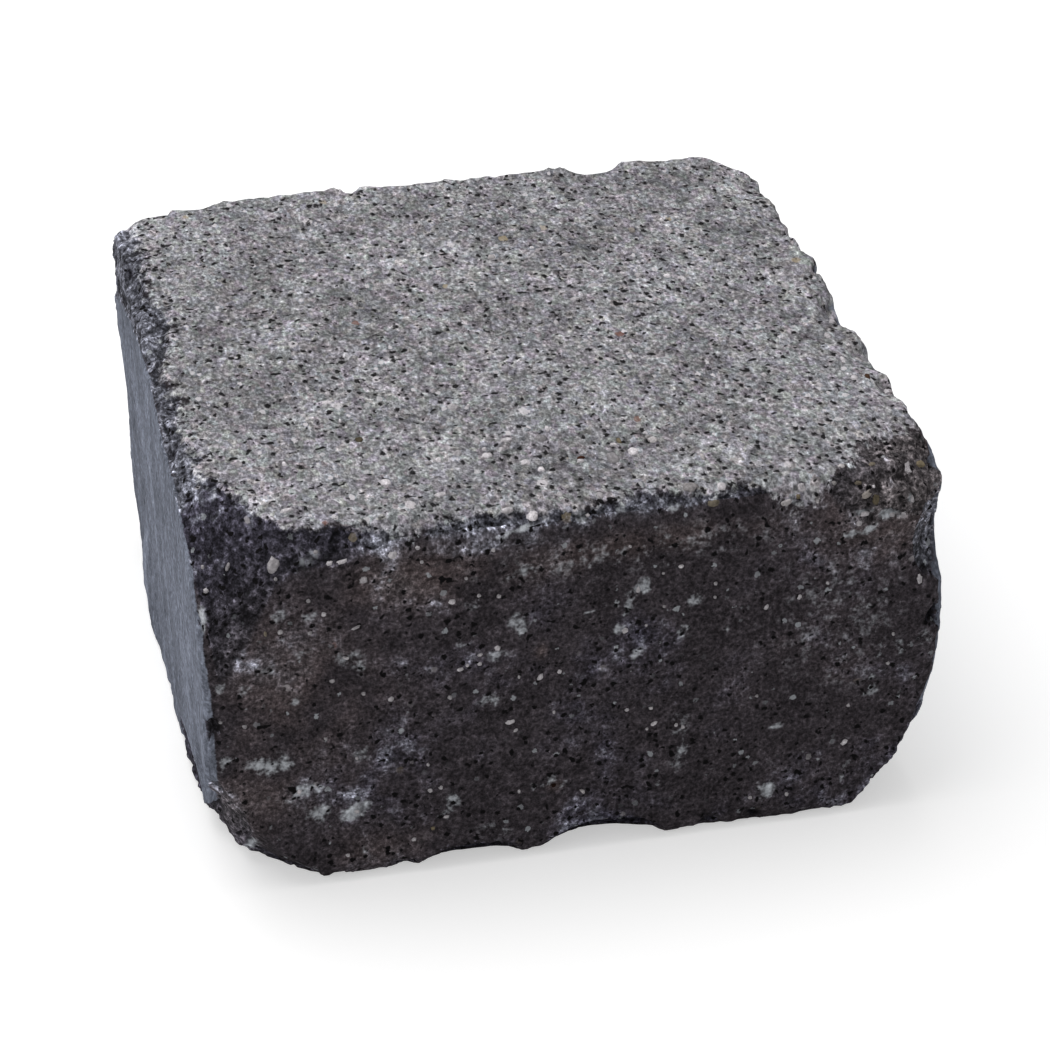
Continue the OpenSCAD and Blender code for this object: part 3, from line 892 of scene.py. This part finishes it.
def border_group():
    """A finish's border, straying with the grain: a mask, from how far inside the finish a point lies."""
    tree, given, out = new_group(
        "Finish Border",
        {"Inside": (FLOAT, 0.0), "Noise": (FLOAT, 0.5), "Stray": (FLOAT, 0.004), "Width": (FLOAT, 0.0004)},
        {"Mask": FLOAT})
    centred = maths(tree, "SUBTRACT", given["Noise"], 0.5)
    strayed = plus(tree, given["Inside"], by(tree, given["Stray"], centred))
    low = by(tree, given["Width"], -1.0)
    tree.links.new(between(tree, strayed, low, given["Width"]), out["Mask"])
    return tree


# --------------------------------------------------------------------------------------------- concrete


def new_material(name):
    """An empty material, as (material, tree)."""
    material = bpy.data.materials.new(name)
    material.use_nodes = True
    material.node_tree.nodes.clear()
    return material, material.node_tree


class Concrete:
    """The grain of the block's concrete, and the colour that each finish makes of it."""

    def __init__(self, tree, look):
        self.tree, self.look = tree, look
        # Each point's place, and the same with the grain drawn out
        self.true_at = place(tree, "ShaderNodeTexCoord").outputs["Object"]
        self.at = vector_maths(tree, "MULTIPLY", self.true_at, GRAIN_STRETCH)
        self.known = {
            key: place(tree, "ShaderNodeAttribute", attribute_name=key).outputs["Fac"]
            for key in ("scar", "top", "side", "proud", "lime", "warm", "dust", "stone", "stone_warmth")}
        self.mix_grain()
        self.find_finishes()
        self.open_pits()
        self.choose_stones()

    def mix_grain(self):
        """Grain of the whole block: sand, small grains, stones and slow patches."""
        tree, look, known = self.tree, self.look, self.known
        grains = grains_group()
        self.grit = use(tree, sand_group(), {"Vector": self.at, "Size": look.grit_size})
        fine, coarse = self.grit["Fine"], self.grit["Coarse"]
        self.patches = stretched(tree, cloud(tree, self.at, scale=1 / PATCH_SIZE, roughness=0.6))
        self.clustered = plus(tree, off_middle(tree, self.patches, 0.12), off_middle(tree, coarse, -0.2))
        self.on_top = between(tree, known["top"], -1 * MM, 1 * MM)
        by_arris = plus(tree, between(tree, known["top"], 10 * MM, 0.0, 0.0, 0.12),
                        between(tree, known["scar"], -3 * MM, 1 * MM, 0.0, 0.1))
        lost = plus(tree, choose(tree, self.on_top, 0.1, 0.28), self.clustered, by_arris)
        self.small = use(tree, grains, {"Vector": self.grit["Shifted"], "Size": look.grain_size,
                                        "Stones": 0.12, "Pits": lost, "Offset": 8.0})
        self.large = use(tree, grains, {"Vector": self.grit["Shifted"], "Size": look.stone_size,
                                        "Stones": 0.03, "Offset": 5.0})
        self.sandy = plus(tree, by(tree, fine, 0.7), by(tree, coarse, 0.3))
        self.blotchy = plus(tree, by(tree, fine, 0.3), by(tree, coarse, 0.7))
        self.granular = plus(tree, by(tree, fine, 0.55), by(tree, coarse, 0.2),
                             by(tree, self.small["Tone"], 0.25))

    def find_finishes(self):
        """Where each finish is."""
        border = border_group()

        def mask(finish, noise, stray, width):
            return use(self.tree, border, {"Inside": self.known[finish], "Noise": noise, "Stray": stray,
                                           "Width": width})["Mask"]

        self.broken = mask("scar", self.granular, 4 * MM, 0.6 * MM)
        self.broken_soft = mask("scar", self.patches, 9 * MM, 4 * MM)
        self.top = mask("top", self.blotchy, 9 * MM, 2.4 * MM)
        self.side = mask("side", self.granular, 0.8 * MM, 0.3 * MM)

    def open_pits(self):
        """Pits: those where a grain fell out, and larger ragged ones."""
        tree = self.tree
        level = plus(tree, choose(tree, self.on_top, 0.325, 0.355), by(tree, self.clustered, 0.3))
        ragged = use(tree, pits_group(), {"Vector": self.true_at, "Size": self.look.pit_size, "Level": level,
                                          "Slope": 0.06, "Offset": 11.0})["Depth"]
        self.pit = maths(tree, "MAXIMUM", self.small["Pit"], ragged)

    def choose_stones(self):
        """Colour of the larger stones, and how strongly the small pale ones show."""
        tree, look = self.tree, self.look
        rust = between(tree, self.large["Chance"], 0.95, 0.96)
        tan = between(tree, self.large["Chance"], 0.76, 0.8)
        self.stone_colour = self.stone_of(tan, rust)
        self.few = between(tree, self.small["Chance"], 0.55, 1.0, 0.03, 0.75)
        # What stands proud is lighter, partly as rubbed wear, and what lies low is darker as painted shade
        # in the hollows
        self.rubbed = by(tree, maths(tree, "MINIMUM", self.known["proud"], 0.3 * MM), 300.0)
        self.lime_colour = tinted(tree, rgba(look.lime), self.contrast(self.blotchy, 4.0))

    def stone_of(self, tan, rust):
        """A stone's colour: pale, tan or rust-red."""
        look = self.look
        colour = blend(self.tree, tan, rgba(look.pale_stone), rgba(look.tan_stone))
        return blend(self.tree, rust, colour, rgba(look.rust_stone))

    def contrast(self, value, amount):
        """Factor from darkest to lightest sand, that amount apart, with the proud places lighter and painted
        shade in the hollows.
        """
        tree = self.tree
        power = plus(tree, off_middle(tree, value), self.rubbed, off_middle(tree, self.patches, 0.2))
        return maths(tree, "POWER", amount, power)

    def with_pit_shade(self, colour, depth=1.0):
        """A colour with painted shade in its pits."""
        pit = self.pit if depth == 1.0 else by(self.tree, self.pit, depth)
        return blend(self.tree, pit, colour, rgba(self.look.pore_shade))

    def top_colour(self):
        """Top skin: open and sandy, its grey partly the concrete's own and partly painted light from above.
        """
        tree, look = self.tree, self.look
        colour = tinted(tree, rgba(look.top_skin_and_painted_light), self.contrast(self.sandy, look.top_contrast))
        tint = blend(tree, 0.1, WHITE, self.small["Tint"])
        colour = blend(tree, 1.0, colour, tint, "MULTIPLY")
        pale = between(tree, self.small["Chance"], 0.3, 1.0, 0.05, 0.85)
        colour = blend(tree, by(tree, self.small["Stone"], pale), colour, rgba(look.pale_stone))
        colour = blend(tree, by(tree, self.large["Stone"], 0.7), colour, self.stone_colour)
        return self.with_pit_shade(colour, 0.95)

    def face_colour(self):
        """Anthracite faces: closer and darker, partly their own colour and partly painted shade, with lime
        on them.
        """
        tree, look = self.tree, self.look
        warmth = between(tree, plus(tree, self.known["warm"], off_middle(tree, self.patches, 0.9)), 0.0, 1.0)
        colour = blend(tree, warmth, rgba(look.face_skin_and_painted_shade), rgba(look.warm_skin))
        colour = tinted(tree, colour, self.contrast(self.sandy, look.face_contrast))
        colour = blend(tree, by(tree, self.small["Stone"], self.few), colour, rgba(look.lime))
        limed = use(tree, lime_group(), {"Vector": self.at, "Marks": self.known["lime"],
                                         "Sand": self.blotchy, "Size": LIME_SIZE})["Mask"]
        colour = blend(tree, by(tree, limed, 0.75), colour, self.lime_colour)
        return self.with_pit_shade(colour)

    def side_colour(self):
        """Mould sides: smooth and drawn, their blue-grey partly their own colour and partly a painted sheen.
        """
        tree, look = self.tree, self.look
        drawn = use(tree, mould_marks_group(), {"Vector": self.at, "Size": MOULD_MARK_SIZE})["Value"]
        power = plus(tree, off_middle(tree, drawn, 0.7), off_middle(tree, self.grit["Fine"], 0.5),
                     off_middle(tree, self.patches, 0.15))
        return tinted(tree, rgba(look.side_skin_and_painted_sheen), maths(tree, "POWER", look.side_contrast, power))

    def broken_colour(self):
        """Broken concrete: dark and granular, with stones laid bare, dust rubbed in and lime smeared on."""
        tree, look, known = self.tree, self.look, self.known
        coarse = self.grit["Coarse"]
        dust = plus(tree, known["dust"], off_middle(tree, coarse, 0.9), off_middle(tree, self.patches, 0.7))
        dusted = between(tree, dust, 0.2, 1.0)
        colour = blend(tree, by(tree, known["warm"], 0.8), rgba(look.broken), rgba(look.bared))
        colour = blend(tree, by(tree, dusted, 0.85), colour, rgba(look.dusty))
        amount = choose(tree, dusted, look.broken_contrast, 1.5 * look.broken_contrast)
        colour = tinted(tree, colour, self.contrast(self.granular, amount))
        colour = blend(tree, by(tree, self.small["Stone"], self.few), colour, self.lime_colour)
        bare = choose(tree, known["warm"], 0.35, 0.7)
        colour = blend(tree, by(tree, self.large["Stone"], bare), colour, self.stone_colour)
        marked = between(tree, plus(tree, known["lime"], off_middle(tree, coarse, 0.7)), 0.1, 0.9)
        marked = by(tree, marked, between(tree, known["lime"], 0.05, 0.3))
        return self.with_pit_shade(blend(tree, marked, colour, self.lime_colour))

    def colour(self):
        """Each finish in its place, and the stones set in the mesh."""
        tree, known = self.tree, self.known
        base = blend(tree, self.side, self.face_colour(), self.side_colour())
        off_side = maths(tree, "SUBTRACT", 1.0, self.side)
        any_broken = maths(tree, "MAXIMUM", by(tree, self.broken_soft, off_side), self.broken)
        base = blend(tree, any_broken, base, self.broken_colour())
        base = blend(tree, self.top, base, self.top_colour())
        tan = between(tree, known["stone_warmth"], 0.3, 0.7)
        rust = between(tree, known["stone_warmth"], 0.8, 0.95)
        level = by(tree, known["stone"], self.contrast(self.grit["Fine"], 2.0))
        is_stone = maths(tree, "GREATER_THAN", known["stone"], 0.01)
        return blend(tree, is_stone, base, tinted(tree, self.stone_of(tan, rust), level))

    def normal(self):
        """Relief finer than the mesh, in millimetres, less of it on the mould sides."""
        tree = self.tree
        rough = between(tree, self.known["side"], -0.5 * MM, 0.5 * MM, 1.0, 0.15)
        height = plus(tree, by(tree, self.grit["Fine"], 0.35), by(tree, self.grit["Coarse"], 0.4),
                      by(tree, self.small["Pit"], -0.4))
        return place(tree, "ShaderNodeBump", {"Height": by(tree, height, rough), "Strength": 1.0,
                                              "Distance": 1 * MM}).outputs[0]


def concrete_material(look):
    """The whole block's concrete: top skin, anthracite faces, mould sides and broken concrete."""
    material, tree = new_material("tumbled_concrete")
    concrete = Concrete(tree, look)
    shader = place(tree, "ShaderNodeBsdfPrincipled", {
        "Base Color": concrete.colour(), "Roughness": 0.9, "Specular IOR Level": 0.08,
        "Normal": concrete.normal()})
    place(tree, "ShaderNodeOutputMaterial", {"Surface": shader.outputs[0]}).is_active_output = True
    return material


# ------------------------------------------------------------------------------------------------ stage


def floor_material(look):
    """Pale floor: white to the camera, with the block's shadow left on it."""
    material, tree = new_material("studio_floor")
    matt = place(tree, "ShaderNodeBsdfDiffuse", {"Color": rgba(look.floor_colour)})
    glow = place(tree, "ShaderNodeEmission", {"Color": WHITE, "Strength": look.floor_glow})
    both = place(tree, "ShaderNodeAddShader", {0: matt.outputs[0], 1: glow.outputs[0]})
    seen = place(tree, "ShaderNodeLightPath").outputs["Is Camera Ray"]
    mixed = place(tree, "ShaderNodeMixShader", {0: seen, 1: matt.outputs[0], 2: both.outputs[0]})
    place(tree, "ShaderNodeOutputMaterial", {"Surface": mixed.outputs[0]})
    return material


def soft_box(name, power, size, position):
    """A square area lamp that faces the middle of the block, with its place measured from there."""
    lamp = bpy.data.lights.new(name, "AREA")
    lamp.energy = power
    lamp.shape = "SQUARE"
    lamp.size = size
    holder = bpy.data.objects.new(name, lamp)
    holder.location = BLOCK_MIDDLE + position
    holder.rotation_euler = (BLOCK_MIDDLE - holder.location).to_track_quat("-Z", "Y").to_euler()
    bpy.context.scene.collection.objects.link(holder)


def white_sky(strength):
    """An even white light all round, white to the camera."""
    world = bpy.data.worlds.new("studio")
    world.use_nodes = True
    tree = world.node_tree
    tree.nodes.clear()
    seen = place(tree, "ShaderNodeLightPath").outputs["Is Camera Ray"]
    sky = place(tree, "ShaderNodeBackground",
                {"Color": WHITE, "Strength": choose(tree, seen, strength, 1.0)})
    place(tree, "ShaderNodeOutputWorld", {"Surface": sky.outputs[0]})
    bpy.context.scene.world = world


def camera(look):
    """A camera that looks down on the block's front and left side."""
    turn = Matrix.Rotation(look.azimuth, 3, "Z") @ Matrix.Rotation(math.pi / 2 - look.elevation, 3, "X")
    right, up, back = (turn.col[i] for i in range(3))
    data = bpy.data.cameras.new("camera")
    data.lens = look.lens
    data.sensor_width = 36
    data.dof.use_dof = False
    holder = bpy.data.objects.new("camera", data)
    aim = BLOCK_MIDDLE + right * look.aim_right - up * look.aim_down
    holder.matrix_world = Matrix.Translation(aim + back * look.distance) @ turn.to_4x4()
    bpy.context.scene.collection.objects.link(holder)
    bpy.context.scene.camera = holder


# -------------------------------------------------------------------------------------------- operators


class WALLBLOCK_OT_block(bpy.types.Operator):
    """Build the tumbled block with its concrete finish"""

    bl_idname = "wall_block.block"
    bl_label = "Block"
    bl_options = {"REGISTER", "UNDO"}

    def execute(self, context):
        points, quads, values = add_stones(*rough_block(context.scene.wall_block_shape))
        piece = mesh_piece("tumbled_block", points, quads, values)
        piece.data.materials.append(concrete_material(context.scene.wall_block_concrete))
        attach(piece, "root")
        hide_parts(NODE)
        return {"FINISHED"}


class WALLBLOCK_OT_stage(bpy.types.Operator):
    """Add the floor, the soft light and the camera"""

    bl_idname = "wall_block.stage"
    bl_label = "Floor, Light and Camera"
    bl_options = {"REGISTER", "UNDO"}

    def execute(self, context):
        look = context.scene.wall_block_stage
        bpy.ops.mesh.primitive_plane_add(size=2 * FLOOR_REACH * BLOCK_SIZE.x,
                                         location=(0, 0, BLOCK_LOW.z - FLOOR_DROP))
        floor = context.object
        floor.name = "floor"
        floor.data.materials.append(floor_material(look))
        soft_box("top_softbox", look.top_light, TOP_LAMP_SIZE, TOP_LAMP_AT)
        soft_box("left_softbox", look.side_light, SIDE_LAMP_SIZE, SIDE_LAMP_AT)
        white_sky(look.sky_strength)
        camera(look)
        context.scene.view_settings.view_transform = "Standard"
        return {"FINISHED"}


class VIEW3D_PT_wall_block(bpy.types.Panel):
    """Lists the block's settings and operators in the sidebar."""

    bl_label = "Wall Block"
    bl_space_type = "VIEW_3D"
    bl_region_type = "UI"
    bl_category = "Wall Block"

    def draw(self, context):
        for operator in (WALLBLOCK_OT_block, WALLBLOCK_OT_stage):
            self.layout.operator(operator.bl_idname)
        for settings in ("wall_block_shape", "wall_block_concrete", "wall_block_stage"):
            box = self.layout.box()
            group = getattr(context.scene, settings)
            for key in group.__annotations__:
                box.prop(group, key)


SETTINGS = {"wall_block_shape": WallBlockShape, "wall_block_concrete": WallBlockConcrete,
            "wall_block_stage": WallBlockStage}
CLASSES = (*SETTINGS.values(), WALLBLOCK_OT_block, WALLBLOCK_OT_stage, VIEW3D_PT_wall_block)


def register():
    """Registers the classes and puts the settings on the scene."""
    for cls in CLASSES:
        bpy.utils.register_class(cls)
    for key, cls in SETTINGS.items():
        setattr(bpy.types.Scene, key, PointerProperty(type=cls))


def unregister():
    """Takes the settings and the classes away again."""
    for key in SETTINGS:
        delattr(bpy.types.Scene, key)
    for cls in reversed(CLASSES):
        bpy.utils.unregister_class(cls)


def main():
    """Builds the block and its stage."""
    register()
    bpy.ops.wall_block.block()
    bpy.ops.wall_block.stage()


if __name__ == "__main__":
    main()
